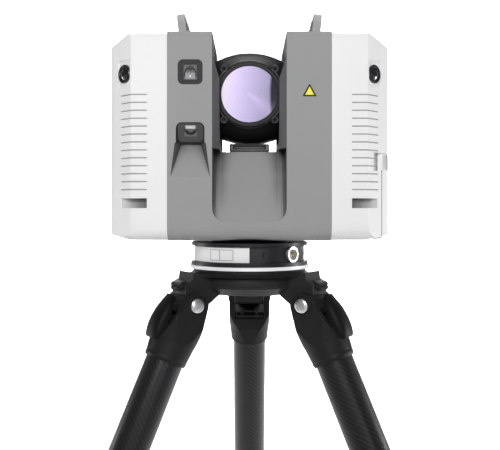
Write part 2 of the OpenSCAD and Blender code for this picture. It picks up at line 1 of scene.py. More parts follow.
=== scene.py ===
import json
import math

import bmesh
import bpy
from mathutils import Euler, Matrix, Vector


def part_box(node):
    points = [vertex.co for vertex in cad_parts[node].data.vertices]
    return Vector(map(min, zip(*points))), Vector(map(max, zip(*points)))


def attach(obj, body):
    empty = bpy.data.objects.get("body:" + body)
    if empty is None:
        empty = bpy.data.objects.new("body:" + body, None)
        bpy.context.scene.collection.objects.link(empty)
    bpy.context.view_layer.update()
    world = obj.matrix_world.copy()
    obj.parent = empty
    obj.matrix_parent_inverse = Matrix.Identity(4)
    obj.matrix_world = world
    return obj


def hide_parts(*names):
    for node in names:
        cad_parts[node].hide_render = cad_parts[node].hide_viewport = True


bpy.context.scene.view_settings.view_transform = "Standard"
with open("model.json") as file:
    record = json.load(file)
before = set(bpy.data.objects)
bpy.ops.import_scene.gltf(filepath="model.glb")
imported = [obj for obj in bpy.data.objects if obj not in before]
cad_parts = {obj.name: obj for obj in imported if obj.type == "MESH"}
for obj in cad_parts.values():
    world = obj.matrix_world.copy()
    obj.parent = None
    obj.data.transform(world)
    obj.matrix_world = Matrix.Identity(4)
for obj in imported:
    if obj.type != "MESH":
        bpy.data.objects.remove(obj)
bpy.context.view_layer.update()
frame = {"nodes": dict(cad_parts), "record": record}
NODES = frame["nodes"]
MM = 0.001
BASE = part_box("base_flanges")[0].z + 2.5 * MM      # bottom of the scanner's base
AXIS_H = 151                                       # the rotor's axis, millimetres above that
AXIS_Z = BASE + AXIS_H * MM
WINDOW_R = 25                                      # the rotor's window
BARREL_R, BARREL_ARC = 42, 65                      # the rotor at its middle, and the arc of its barrel shape
PIVOT_OUT, PIVOT_DROP = 63, 33                     # leg pivots: out from the pan axis, below the base
SPREAD = math.radians(24.3)                        # the legs' slant at the first stop
THREADS, THREAD_H = 84, 1.25                       # carbon weave: threads round a tube, and a thread's height
POCKET_SHADE_IN, POCKET_SHADE_SPAN = 84.5, 23.5                      # painted shade of the grip pocket: its inner end, and how far out it pales
LEGS = {"rear": 90, "left": 210, "right": 330}     # each leg's azimuth in degrees


# ---- Materials -------------------------------------------------------------------------------------

class Net:
    """A material's node tree, with short ways to add and join nodes."""

    def __init__(self, name, rotation=None, location=None):
        self.mat = bpy.data.materials.new(name)
        self.mat.use_nodes = True
        self.tree = self.mat.node_tree
        self.bsdf = self.tree.nodes["Principled BSDF"]
        self.coord = self.node("ShaderNodeTexCoord").outputs["Object"]
        if rotation is not None:
            place = self.node("ShaderNodeMapping", Vector=self.coord)
            place.vector_type = "TEXTURE"
            place.inputs["Location"].default_value = location
            place.inputs["Rotation"].default_value = rotation
            self.coord = place.outputs["Vector"]

    def node(self, kind, **inputs):
        n = self.tree.nodes.new(kind)
        for key, value in inputs.items():
            self.put(n, key.replace("_", " "), value)
        return n

    def put(self, n, key, value):
        socket = n.inputs[int(key[3:])] if key.startswith("in ") else n.inputs[key]
        if isinstance(value, bpy.types.NodeSocket):
            self.tree.links.new(value, socket)
        else:
            socket.default_value = value

    def math(self, op, a, b=0.0, c=0.0):
        n = self.tree.nodes.new("ShaderNodeMath")
        n.operation = op
        for i, v in enumerate((a, b, c)):
            if isinstance(v, bpy.types.NodeSocket):
                self.tree.links.new(v, n.inputs[i])
            else:
                n.inputs[i].default_value = v
        return n.outputs[0]

    def noise(self, scale, detail=3.0, stretch=(1, 1, 1), rough=0.5):
        place = self.node("ShaderNodeMapping", Vector=self.coord)
        place.inputs["Scale"].default_value = stretch
        return self.node("ShaderNodeTexNoise", Vector=place.outputs[0], Scale=scale, Detail=detail,
                         Roughness=rough).outputs[0]

    def ramp(self, value, *stops):
        n = self.node("ShaderNodeValToRGB", Fac=value)
        band = n.color_ramp
        while len(band.elements) < len(stops):
            band.elements.new(0.5)
        for e, (at, colour) in zip(band.elements, stops):
            e.position = at
            e.color = (*colour, 1) if len(colour) == 3 else colour
        return n.outputs[0]

    def bump(self, height, distance, strength=1.0, normal=None):
        n = self.node("ShaderNodeBump", Height=height, Strength=strength, Distance=distance)
        if normal is not None:
            self.tree.links.new(normal, n.inputs["Normal"])
        return n.outputs[0]

    def set(self, **inputs):
        for key, value in inputs.items():
            self.put(self.bsdf, key.replace("_", " "), value)
        return self.mat


def tone(c, k):
    return tuple(min(1.0, x * k) for x in c)


def surface(name, colour, rough, metal=0.0, grain=0.0, grain_scale=2600, patch=0.06, coat=0.0,
            stretch=(1, 1, 1), rough_var=0.08, spec=0.5, cavity=None, sides=1.0):
    """A paint, plastic or metal: slight patches of tone, a fine grain in the bump, uneven gloss, and where
    asked, painted shade on faces turned sideways and in cavities.
    """
    n = Net(name)
    cloud = n.noise(26, 4)
    fine = n.noise(grain_scale, 3, stretch)
    mixed = n.math("ADD", n.math("MULTIPLY", cloud, 0.75), n.math("MULTIPLY", fine, 0.25))
    base = n.ramp(mixed, (0.25, tone(colour, 1 - patch)), (0.75, tone(colour, 1 + patch)))
    # Painted shade: faces turned sideways, by the normal's X in the object, take a darker copy of the colour
    if sides < 1.0:
        facing = n.node("ShaderNodeSeparateXYZ",
                        Vector=n.tree.nodes["Texture Coordinate"].outputs["Normal"]).outputs[0]
        turned = n.node("ShaderNodeMix",
                        Factor=n.ramp(n.math("ABSOLUTE", facing), (0.35, (0, 0, 0)), (0.70, (1, 1, 1)),
                                      (0.93, (1, 1, 1)), (0.985, (0.5, 0.5, 0.5))))
        turned.data_type = "RGBA"
        n.put(turned, "in 6", base)
        n.put(turned, "in 7", (*tone(colour, sides), 1))
        base = turned.outputs[2]
    # Painted shade: the colour darkens in cavities, by ambient occlusion within the given distance
    if cavity:
        open_sky = n.node("ShaderNodeAmbientOcclusion", Distance=cavity[0] * MM)
        open_sky.samples = 12
        painted_cavity_shade = n.node("ShaderNodeMix",
                        Factor=n.ramp(open_sky.outputs["AO"], (0.50, (0, 0, 0)), (0.86, (1, 1, 1))))
        painted_cavity_shade.data_type = "RGBA"
        n.put(painted_cavity_shade, "in 6", (*tone(colour, cavity[1]), 1))
        n.put(painted_cavity_shade, "in 7", base)
        base = painted_cavity_shade.outputs[2]
    gloss = n.math("MULTIPLY_ADD", n.noise(grain_scale * 0.4, 4, stretch), rough_var, rough - rough_var / 2)
    n.set(Base_Color=base, Roughness=gloss, Metallic=metal, Coat_Weight=coat, Specular_IOR_Level=spec)
    if grain:
        n.set(Normal=n.bump(fine, grain * MM, 0.6))
    return n.mat


def carbon(name, azimuth):
    """Twill weave wound round a leg tube: two over, two under, under clear lacquer, with the threads' sheen
    painted in as paler colour.
    """
    rotation, location = leg_matrix(azimuth).to_euler(), leg_matrix(azimuth).to_translation()
    n = Net(name, rotation, location)
    xyz = n.node("ShaderNodeSeparateXYZ", Vector=n.coord)
    turn = n.math("ARCTAN2", xyz.outputs[1], xyz.outputs[0])
    u = n.math("MULTIPLY", turn, THREADS / (2 * math.pi))
    v = n.math("DIVIDE", xyz.outputs[2], THREAD_H * MM)
    fu, fv = n.math("FRACT", u), n.math("FRACT", v)
    step = n.math("ADD", n.math("FLOOR", u), n.math("FLOOR", v))
    over = n.math("LESS_THAN", n.math("FRACT", n.math("DIVIDE", n.math("ADD", step, 0.01), 4)), 0.5)
    hump_u = n.math("SINE", n.math("MULTIPLY", fu, math.pi))
    hump_v = n.math("SINE", n.math("MULTIPLY", fv, math.pi))
    hump = n.node("ShaderNodeMix", Factor=over)
    n.put(hump, "in 2", hump_u)
    n.put(hump, "in 3", hump_v)
    # Painted sheen: each thread is paler along its crown, and the threads marked over are paler than the
    # others
    cloth = n.math("MULTIPLY_ADD", n.noise(900, 3), 0.35, n.math("MULTIPLY", hump.outputs[0], 0.65))
    dark = n.ramp(cloth, (0.15, (0.007, 0.007, 0.008)), (0.9, (0.013, 0.013, 0.014)))
    pale = n.ramp(cloth, (0.15, (0.010, 0.010, 0.011)), (0.9, (0.021, 0.021, 0.023)))
    colour = n.node("ShaderNodeMix", Factor=over)
    colour.data_type = "RGBA"
    n.put(colour, "in 6", dark)
    n.put(colour, "in 7", pale)
    return n.set(Base_Color=colour.outputs[2], Roughness=n.math("MULTIPLY_ADD", over, 0.08, 0.36),
                 Metallic=0.0, Coat_Weight=0.18, Coat_Roughness=0.24, Specular_IOR_Level=0.2,
                 Normal=n.bump(hump.outputs[0], 0.02 * MM, 0.3))


def coated_window_painted_reflection(name):
    """The rotor's window: a violet coating with a painted reflection that pales it to the left, and the
    mirror's edge at the right as a painted dark crescent of shade.
    """
    n = Net(name)
    xyz = n.node("ShaderNodeSeparateXYZ", Vector=n.coord)
    # Across and up from the window's centre, in window radii
    x = n.math("DIVIDE", xyz.outputs[0], WINDOW_R * MM)
    z = n.math("DIVIDE", n.math("SUBTRACT", xyz.outputs[2], AXIS_Z), WINDOW_R * MM)
    # Painted reflection: the tone runs paler to the left and upwards
    across = n.math("MULTIPLY_ADD", x, 0.42, n.math("MULTIPLY_ADD", z, -0.06, 0.5))
    soft = n.math("MULTIPLY_ADD", n.noise(70, 3), 0.10, n.math("SUBTRACT", across, 0.05))
    # Painted reflections: faint turning rings about the centre, and a pale streak that runs from it to the
    # lower right
    radius = n.math("SQRT", n.math("ADD", n.math("MULTIPLY", x, x), n.math("MULTIPLY", z, z)))
    rings = n.math("MULTIPLY", n.math("SINE", n.math("MULTIPLY", radius, 46.0)), 0.012)
    along = n.math("ADD", n.math("MULTIPLY", x, 0.78), n.math("MULTIPLY", z, -0.63))
    beside = n.math("ABSOLUTE", n.math("ADD", n.math("MULTIPLY", x, 0.63), n.math("MULTIPLY", z, 0.78)))
    fan = n.math("SUBTRACT", 1.0, n.math("DIVIDE", beside, n.math("MULTIPLY_ADD", along, 0.34, 0.07)))
    streak = n.math("MULTIPLY", n.math("MAXIMUM", fan, 0.0), n.math("GREATER_THAN", along, -0.06))
    toned = n.math("SUBTRACT", n.math("ADD", soft, rings), n.math("MULTIPLY", streak, 0.16))
    violet_and_painted_reflection = n.ramp(toned, (0.04, (0.98, 0.89, 1.0)), (0.28, (0.80, 0.695, 1.0)),
                  (0.52, (0.60, 0.52, 0.81)), (0.80, (0.40, 0.36, 0.56)))
    # Painted shade: the far edge of the mirror shows as a dark crescent that pales downwards
    crescent = n.math("SUBTRACT", n.math("SUBTRACT", x, 0.68),
                      n.math("MULTIPLY", n.math("MULTIPLY", z, z), 0.10))
    inside = n.ramp(crescent, (0.0, (0, 0, 0)), (0.09, (1, 1, 1)))
    shade = n.ramp(n.math("MULTIPLY_ADD", z, 0.5, 0.5), (0.12, (0.17, 0.145, 0.23)),
                   (0.40, (0.030, 0.028, 0.045)), (0.8, (0.013, 0.013, 0.020)))
    mix = n.node("ShaderNodeMix", Factor=inside)
    mix.data_type = "RGBA"
    n.put(mix, "in 6", violet_and_painted_reflection)
    n.put(mix, "in 7", shade)
    return n.set(Base_Color=mix.outputs[2], Roughness=0.28, Metallic=0.0, Coat_Weight=0.02,
                 Coat_Roughness=0.10, Specular_IOR_Level=0.02)


def grip_pocket_shade(name):
    """Painted shade in a grip pocket: a grey sheet, darkest at the pocket's deep inner end and paler
    outwards.
    """
    n = Net(name)
    x = n.math("ABSOLUTE", n.node("ShaderNodeSeparateXYZ", Vector=n.coord).outputs[0])
    depth = n.math("MULTIPLY_ADD", n.noise(300, 3), 0.1,
                   n.math("DIVIDE", n.math("SUBTRACT", x, POCKET_SHADE_IN * MM), POCKET_SHADE_SPAN * MM))
    colour = n.ramp(depth, (0.02, (0.13, 0.13, 0.13)), (0.45, (0.26, 0.26, 0.26)),
                    (0.98, (0.60, 0.60, 0.60)))
    return n.set(Base_Color=colour, Roughness=0.7, Specular_IOR_Level=0.1,
                 Normal=n.bump(n.noise(2600, 3), 0.05 * MM, 0.6))


def leg_matrix(azimuth):
    """Leg frame: origin at the pivot, +X out from the leg, +Z up the leg."""
    a = math.radians(azimuth)
    out = Vector((math.cos(a) * math.cos(SPREAD), math.sin(a) * math.cos(SPREAD), math.sin(SPREAD)))
    up = Vector((-math.cos(a) * math.sin(SPREAD), -math.sin(a) * math.sin(SPREAD), math.cos(SPREAD)))
    side = up.cross(out)
    m = Matrix((out, side, up)).transposed().to_4x4()
    m.translation = Vector((math.cos(a) * PIVOT_OUT * MM, math.sin(a) * PIVOT_OUT * MM,
                            BASE - PIVOT_DROP * MM))
    return m


MAT = {
    # Yoke grey: painted shade in its cavities and on its faces turned sideways
    "yoke_grey": surface("yoke_grey", (0.318, 0.321, 0.321), 0.7, grain=0.06, patch=0.02, spec=0.06,
                         cavity=(22, 0.12), sides=0.48),
    "cover_white": surface("cover_white", (0.83, 0.83, 0.833), 0.6, grain=0.05, patch=0.012, spec=0.15),
    "hub": surface("hub_black", (0.022, 0.022, 0.023), 0.5, grain=0.05, patch=0.12, spec=0.12),
    "plate_black": surface("plate_black", (0.015, 0.015, 0.016), 0.45, grain=0.04, patch=0.12, spec=0.2),
    "silver_ring": surface("silver_turned", (0.88, 0.88, 0.89), 0.42, 0.1, grain=0.02, grain_scale=9000,
                           stretch=(0.02, 0.02, 1), patch=0.10, spec=0.15),
    "steel": surface("satin_steel", (0.56, 0.57, 0.58), 0.32, 1.0, grain=0.02, patch=0.08),
    "chrome": surface("chrome", (0.82, 0.82, 0.83), 0.30, 0.9, patch=0.05, rough_var=0.06),
    "nut_metal": surface("nut_metal", (0.36, 0.36, 0.37), 0.45, 0.2, patch=0.10, spec=0.25),
    "base_dark": surface("base_anodised", (0.016, 0.016, 0.018), 0.36, 0.15, spec=0.4, grain=0.02,
                         grain_scale=7000, stretch=(0.05, 0.05, 1), patch=0.14),
    "flange_black": surface("flange_black", (0.018, 0.018, 0.020), 0.40, 0.1, grain=0.02, patch=0.12,
                            spec=0.2),
    "label": surface("label_brushed", (0.80, 0.80, 0.805), 0.42, 0.0, grain=0.015, grain_scale=8000,
                     stretch=(0.03, 0.03, 1), patch=0.05, spec=0.15),
    "insulator": surface("black_plastic", (0.018, 0.018, 0.019), 0.42, grain=0.03, patch=0.12),
    "contacts": surface("gold_contacts", (0.83, 0.60, 0.22), 0.22, 1.0, patch=0.08),
    "handle_grey": surface("handle_grey", (0.34, 0.343, 0.343), 0.58, grain=0.06, patch=0.03),
    "bezel_dark": surface("bezel_dark", (0.040, 0.041, 0.042), 0.55, grain=0.03, patch=0.08, spec=0.1),
    "lens_dark": surface("lens_dark", (0.010, 0.010, 0.014), 0.07, coat=1.0, patch=0.25, rough_var=0.03),
    "camera_glass": surface("camera_glass", (0.10, 0.10, 0.105), 0.3, coat=0.15, patch=0.15, spec=0.2),
    "barrel_black": surface("barrel_black", (0.012, 0.012, 0.013), 0.25, coat=0.4, patch=0.15),
    "plate_yellow": surface("plate_yellow", (0.93, 0.79, 0.06), 0.45, grain=0.01, patch=0.03, spec=0.2),
    "screen_glass": surface("screen_glass", (0.016, 0.018, 0.022), 0.08, coat=1.0, patch=0.2,
                            rough_var=0.03),
    "rotor_black": surface("rotor_black", (0.009, 0.009, 0.0095), 0.42, grain=0.03, patch=0.14, spec=0.14),
    "mirror": surface("mirror", (0.88, 0.88, 0.9), 0.03, 1.0, patch=0.02, rough_var=0.01),
    "screw_black": surface("screw_black", (0.030, 0.030, 0.032), 0.30, 0.8, patch=0.15),
    "casting_black": surface("casting_black", (0.0145, 0.0145, 0.015), 0.5, grain=0.05, patch=0.12,
                             spec=0.16),
    "tab_black": surface("tab_black", (0.006, 0.006, 0.0065), 0.5, grain=0.07, patch=0.10, spec=0.12),
    "collar_rubber": surface("collar_rubber", (0.018, 0.018, 0.018), 0.62, grain=0.10, patch=0.10),
    "boot_rubber": surface("boot_rubber", (0.017, 0.017, 0.017), 0.70, grain=0.14, patch=0.12),
    "groove": surface("groove_black", (0.006, 0.006, 0.006), 0.7, grain=0.02, patch=0.1),
    "ink": surface("engraved_ink", (0.012, 0.012, 0.013), 0.5, patch=0.1, spec=0.2),
    "window_lilac": coated_window_painted_reflection("coated_window_painted_reflection"),
    "vent_grey": surface("vent_grey", (0.36, 0.36, 0.36), 0.6, grain=0.02, patch=0.05, spec=0.2),
    "plate_satin": surface("rotor_plate_satin", (0.011, 0.011, 0.0115), 0.34, grain=0.02, patch=0.10,
                           spec=0.24),
    "seat_edge": surface("seat_edge", (0.035, 0.035, 0.036), 0.4, patch=0.10, spec=0.3),
    "sensor_grey": surface("sensor_grey", (0.145, 0.145, 0.148), 0.5, grain=0.08, grain_scale=1500,
                           patch=0.2, spec=0.15),
    "lens_pale": surface("lens_pale", (0.29, 0.29, 0.30), 0.4, patch=0.12, spec=0.15),
    "bezel_face": surface("bezel_face", (0.085, 0.086, 0.087), 0.55, grain=0.03, patch=0.08, spec=0.1),
    "lens_edge": surface("lens_edge", (0.10, 0.10, 0.10), 0.5, patch=0.15, spec=0.1),
    "lens_white": surface("lens_white", (0.62, 0.62, 0.64), 0.35, patch=0.10, spec=0.2),
    "grip_pocket_shade": grip_pocket_shade("grip_pocket_shade"),
    "glint": surface("lens_glint", (0.95, 0.95, 0.95), 0.25, coat=1.0, patch=0.02),
}
for leg, az in LEGS.items():
    MAT["carbon_" + leg] = carbon("carbon_twill_" + leg, az)

slot_of = {s["node"]: s["material_slot"] for s in frame["record"]["subparts"]}
for name, obj in NODES.items():
    key = slot_of[name]
    mat = MAT["carbon_" + name.split("_")[0]] if key == "carbon" else MAT[key]
    for slot in obj.material_slots:
        slot.material = mat

# Edge rounding of the CAD pieces: width in millimetres
ROUND = {
    "yoke_housing": 0.9, "left_cover": 0.6, "right_cover": 0.6, "battery_door": 0.5,
    "carry_handles": 2.2, "camera_bezels": 0.8, "camera_windows": 0.2, "target_bracket": 0.6,
    "screen_bezel": 0.5, "door_latch": 0.4, "base_flanges": 0.6, "base_ring": 0.3, "label_band": 0.08,
    "quick_release_ring": 0.7, "top_plate": 0.7, "hub_casting": 1.2, "rotor_drum": 0.7,
    "front_window": 0.3, "socket_shell": 0.4, "corner_barrels": 0.5, "power_button": 0.5,
    "release_button": 0.4, "warning_plate": 0.08, "azimuth_shaft": 0.5, "rotor_screws": 0.2,
}
for leg in LEGS:
    ROUND.update({leg + "_casting": 1.3, leg + "_angle_tab": 1.6, leg + "_upper_collar": 0.9,
                  leg + "_lower_collar": 0.9, leg + "_upper_tube": 0.2, leg + "_lower_tube": 1.5})
for name, width in ROUND.items():
    bevel = NODES[name].modifiers.new("edge", "BEVEL")
    bevel.width = width * MM
    bevel.segments = 3
    bevel.limit_method = "ANGLE"
    bevel.angle_limit = math.radians(32)
    bevel.harden_normals = True
    bevel.use_clamp_overlap = True
    bevel.miter_outer = "MITER_ARC"


# ---- Mesh helpers ----------------------------------------------------------------------------------

def finish_piece(name, bm, body, key, matrix=None, bevel=0.0, smooth=True):
    """Makes a named piece of a bmesh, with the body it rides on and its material's key."""
    mesh = bpy.data.meshes.new(name)
    bmesh.ops.recalc_face_normals(bm, faces=bm.faces)
    bm.to_mesh(mesh)
    bm.free()
    if matrix is not None:
        mesh.transform(matrix)
    if smooth:
        for p in mesh.polygons:
            p.use_smooth = True
        mesh.set_sharp_from_angle(angle=math.radians(34))
    obj = bpy.data.objects.new(name, mesh)
    bpy.context.scene.collection.objects.link(obj)
    mesh.materials.append(MAT[key])
    if bevel:
        b = obj.modifiers.new("edge", "BEVEL")
        b.width, b.segments, b.limit_method, b.angle_limit = bevel * MM, 3, "ANGLE", math.radians(34)
        b.harden_normals = True
    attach(obj, body)
    return obj


def ring_bm(profile, n=64, start=0.0, sweep=360.0, wave=None, bm=None, matrix=None):
    """Revolves (radius, height) points in millimetres about Z. A closed profile, whole turn or part.
    wave gives each step's change of radius, for the points that have a third value."""
    bm = bm or bmesh.new()
    m = matrix or Matrix()
    whole = abs(sweep - 360) < 1e-6
    count = n if whole else n + 1
    rows = []
    for i in range(count):
        a = math.radians(start + sweep * i / n)
        k = wave(i) if wave else 0.0
        row = []
        for point in profile:
            r = (point[0] + (k if len(point) > 2 else 0)) * MM
            row.append(bm.verts.new(m @ Vector((r * math.cos(a), r * math.sin(a), point[1] * MM))))
        rows.append(row)
    for i in range(n):
        r0, r1 = rows[i], rows[(i + 1) % count]
        for j in range(len(profile)):
            k = (j + 1) % len(profile)
            bm.faces.new((r0[j], r1[j], r1[k], r0[k]))
    if not whole:
        bm.faces.new(rows[0])
        bm.faces.new(list(reversed(rows[-1])))
    return bm


def cap_bm(profile, n=48, bm=None, matrix=None):
    """Revolves an open profile that starts and ends on the axis: a dome, button or lens."""
    bm = bm or bmesh.new()
    m = matrix or Matrix()
    first = bm.verts.new(m @ Vector((0, 0, profile[0][1] * MM)))
    last = bm.verts.new(m @ Vector((0, 0, profile[-1][1] * MM)))
    rows = [[bm.verts.new(m @ Vector((r * MM * math.cos(2 * math.pi * i / n),
                                      r * MM * math.sin(2 * math.pi * i / n), h * MM)))
             for r, h in profile[1:-1]] for i in range(n)]
    for i in range(n):
        r0, r1 = rows[i], rows[(i + 1) % n]
        bm.faces.new((first, r1[0], r0[0]))
        bm.faces.new((last, r0[-1], r1[-1]))
        for j in range(len(r0) - 1):
            bm.faces.new((r0[j], r1[j], r1[j + 1], r0[j + 1]))
    return bm


def prism_bm(points, low, high, bm=None, matrix=None):
    """An outline in millimetres in XY, drawn out from low to high along Z."""
    bm = bm or bmesh.new()
    m = matrix or Matrix()
    a = [bm.verts.new(m @ Vector((x * MM, y * MM, low * MM))) for x, y in points]
    b = [bm.verts.new(m @ Vector((x * MM, y * MM, high * MM))) for x, y in points]
    bm.faces.new(list(reversed(a)))
    bm.faces.new(b)
    for i in range(len(points)):
        j = (i + 1) % len(points)
        bm.faces.new((a[i], a[j], b[j], b[i]))
    return bm


def loft_bm(rows, bm=None, matrix=None):
    """Skins a stack of open-ended outlines in millimetres, each closed by its own chord."""
    bm = bm or bmesh.new()
    m = matrix or Matrix()
    verts = [[bm.verts.new(m @ (Vector(p) * MM)) for p in row] for row in rows]
    n = len(rows[0])
    for v0, v1 in zip(verts, verts[1:]):
        for i in range(n):
            j = (i + 1) % n
            bm.faces.new((v0[i], v0[j], v1[j], v1[i]))
    bm.faces.new(verts[0])
    bm.faces.new(list(reversed(verts[-1])))
    return bm


def round_rect(w, h, r, n=5, cx=0.0, cy=0.0):
    pts = []
    for sx, sy, a0 in ((1, 1, 0), (-1, 1, 90), (-1, -1, 180), (1, -1, 270)):
        for i in range(n + 1):
            a = math.radians(a0 + 90 * i / n)
            pts.append((cx + sx * (w / 2 - r) + r * math.cos(a), cy + sy * (h / 2 - r) + r * math.sin(a)))
    return pts


def frame_bm(outer, inner, low, high, bm=None, matrix=None):
    """A flat frame between two outlines with the same number of points."""
    bm = bm or bmesh.new()
    m = matrix or Matrix()
    n = len(outer)
    v = [[bm.verts.new(m @ Vector((x * MM, y * MM, z * MM))) for x, y in ring]
         for ring, z in ((outer, low), (outer, high), (inner, high), (inner, low))]
    for k in range(4):
        p, q = v[k], v[(k + 1) % 4]
        for i in range(n):
            j = (i + 1) % n
            bm.faces.new((p[i], p[j], q[j], q[i]))
    return bm


def at(x, y, z, rx=0.0, ry=0.0, rz=0.0):
    """A place in the row frame: millimetres from the bottom of the scanner's base, turned in degrees."""
    return (Matrix.Translation(Vector((x * MM, y * MM, BASE + z * MM)))
            @ Euler([math.radians(v) for v in (rx, ry, rz)]).to_matrix().to_4x4())


FACE_FRONT = 90.0              # turns +Z to -Y
BEVEL_X, BEVEL_Y = 100, 60     # where a corner bevel leaves the front face


def corner(sx, sy, t, z):
    """On a corner bevel, t along it: +Z out of the face, +Y up. sx and sy pick the corner."""
    return at(sx * (BEVEL_X + t), sy * (BEVEL_Y - t), z) @ Matrix.Rotation(math.atan2(sy, sx), 4, "Z") \
        @ Matrix.Rotation(math.radians(90), 4, "Y") @ Matrix.Rotation(math.radians(90), 4, "Z")


# ---- Scanner: cameras, vents, marks ----------------------------------------------------------------

def hollow_ring(r0, r1, z0, z1, chamfer=0.25):
    return [(r0, z0), (r0, z1 - chamfer), (r0 + chamfer, z1), (r1 - chamfer, z1), (r1, z1 - chamfer),
            (r1, z0)]


CORNER_CAMERA_H = 165
VENTS, VENT_TOP, VENT_PITCH = 13, 146.6, 6.67      # grooves on each cover, from the top one down
VENT_HALF = 0.52                                   # half a groove's height

for sx in (-1, 1):
    # Corner cameras: a domed lens in a stepped barrel
    for sy in (-1, 1):
        tag = ("left" if sx < 0 else "right") + ("_front" if sy < 0 else "_rear")
        place = corner(sx, sy, 6.7, CORNER_CAMERA_H)
        dome = [(0, -2.6), (6.0, -2.6)]
        dome += [(6.0 * math.cos(math.radians(a)), -1.6 + 3.0 * math.sin(math.radians(a)))
                 for a in range(0, 90, 10)]
        dome += [(0, 1.4)]
        finish_piece("corner_dome_" + tag, cap_bm(dome), "head", "lens_dark", place)
        trim = ring_bm(hollow_ring(5.6, 7.9, -1.6, 0.55, 0.4), 64)
        finish_piece("corner_trim_" + tag, trim, "head", "barrel_black", place)
    # Grey lining at the bottom of each vent groove, across the front face and the bevel
    side = "left" if sx < 0 else "right"
    lining = bmesh.new()
    for sy in (-1, 1):
        for i in range(VENTS):
            z = VENT_TOP - i * VENT_PITCH
            path = [(86.5, 59.42), (99.8, 59.42), (109.7, 49.52), (109.2, 49.0), (99.4, 58.8), (86.5, 58.8)]
            outline = [(sx * x, sy * y) for x, y in path]
            prism_bm(outline, z - VENT_HALF, z + VENT_HALF, lining, at(0, 0, 0))
    finish_piece("vent_lining_" + side, lining, "head", "vent_grey", smooth=False)
    # Painted shade: a grey sheet that lines the grip pocket, its back, its inner end and its upper and lower
    # walls
    pocket_shade = bmesh.new()
    floor_side = [(86.45, -54.25), (109.0, -50.45), (109.0, -50.22), (86.45, -54.02)]
    end_side = [(86.42, -59.9), (86.7, -59.9), (86.7, -54.1), (86.42, -54.1)]
    wall_side = [(86.45, -59.9), (99.8, -59.9), (109.1, -50.6), (86.45, -54.15)]
    for sy in (-1, 1):
        for outline, low, high in ((floor_side, 50.95, 59.15), (end_side, 50.95, 59.15),
                                   (wall_side, 58.95, 59.17), (wall_side, 50.93, 51.15)):
            prism_bm([(sx * x, -sy * y) for x, y in outline], low, high, pocket_shade, at(0, 0, 0))
    finish_piece("grip_pocket_shade_" + side, pocket_shade, "head", "grip_pocket_shade", smooth=False)

# Front edge of the battery door: a dark joint line down the bevel, turning in at its foot
seam = [(0.3, 29.0), (-0.3, 29.0), (-0.3, -27.6), (-1.4, -28.6), (-5.6, -28.9), (-5.6, -29.5),
        (-1.0, -29.3), (0.3, -28.0)]
finish_piece("door_seam", prism_bm(seam, -0.3, 0.06), "head", "groove",
             corner(1, -1, 13.8, 54.5), smooth=False)


def arc_bm(r0, r1, a0, a1, low, high, cx=0.0, cy=0.0, bm=None):
    turn = [math.radians(a0 + (a1 - a0) * i / 20) for i in range(21)]
    outline = [(cx + r1 * math.cos(a), cy + r1 * math.sin(a)) for a in turn] \
        + [(cx + r0 * math.cos(a), cy + r0 * math.sin(a)) for a in reversed(turn)]
    return prism_bm(outline, low, high, bm)


def front_camera(tag, place, width, height, shell, field, block, arcs):
    """A stepped frame round a grey sensor field, with dark lens arcs, a pale block and a glint on it.
    field is width, height and middle; block is width, height, middle and material; an arc is its radius,
    two angles and centre."""
    fw, fh, fy = field
    outer, inner = round_rect(width, height, 4.0), round_rect(fw + 0.1, fh + 0.1, 0.9, cy=fy)
    finish_piece(tag + "_camera_frame", frame_bm(outer, inner, -0.4, 0.14), "head", shell,
                 place, bevel=0.12)
    outer, inner = round_rect(fw, fh, 0.9, cy=fy), round_rect(fw - 0.8, fh - 0.8, 0.6, cy=fy)
    finish_piece(tag + "_camera_lip", frame_bm(outer, inner, -0.5, 0.24), "head", "lens_edge",
                 place, bevel=0.1)
    sensor = prism_bm(round_rect(fw - 0.6, fh - 0.6, 0.5, cy=fy), -1.3, -0.45)
    finish_piece(tag + "_sensor_field", sensor, "head", "sensor_grey", place)
    bm = bmesh.new()
    for r, a0, a1, cx, cy in arcs:
        arc_bm(r - 0.8, r, a0, a1, -0.6, -0.25, cx, cy, bm)
    finish_piece(tag + "_lens_arcs", bm, "head", "groove", place)
    w, h, dy, key = block
    finish_piece(tag + "_lens_block", prism_bm(round_rect(w, h, 0.7, cy=dy), -0.6, -0.16), "head", key,
                 place, bevel=0.12)
    glint = cap_bm([(0, -0.4), (0.7, -0.4), (0.66, -0.1), (0.4, 0.04), (0, 0.08)], 20)
    finish_piece(tag + "_lens_glint", glint, "head", "glint",
                 place @ Matrix.Translation((0, (dy - 0.2) * MM, 0)))


UPPER_CAMERA = at(-49.9, -59.4, 165.7, rx=FACE_FRONT)
LOWER_CAMERA = at(-49.9, -54, 115.3, rx=FACE_FRONT + 28) @ Matrix.Translation((0, 0, 0.6 * MM))
front_camera("upper", UPPER_CAMERA, 20.6, 20.6, "bezel_dark",
             (11.5, 13.0, -0.2), (8.4, 5.4, -3.3, "lens_pale"),
             ((5.2, -30, 210, 0, -1.6), (2.7, 15, 175, -2.1, 0.4), (2.7, 5, 165, 2.1, 0.4),
              (4.1, 40, 140, 0, 0.9)))
front_camera("lower", LOWER_CAMERA, 21.4, 16.8, "bezel_face",
             (11.6, 11.2, 1.4), (8.2, 3.2, 5.0, "lens_white"),
             ((5.3, 180, 360, 0, 3.2), (3.6, 190, 350, 0, 2.8), (4.5, 200, 340, 0, 3.0)))

# Caution plate: dark border round a plain yellow triangle
tri = [(-5.7, -5.0), (5.7, -5.0), (0, 5.3)]
inner = [(-3.8, -3.95), (3.8, -3.95), (0, 3.1)]
finish_piece("caution_border", frame_bm(tri, inner, 0.28, 0.42), "head", "ink",
             at(50.7, -60, 150.2, rx=FACE_FRONT))

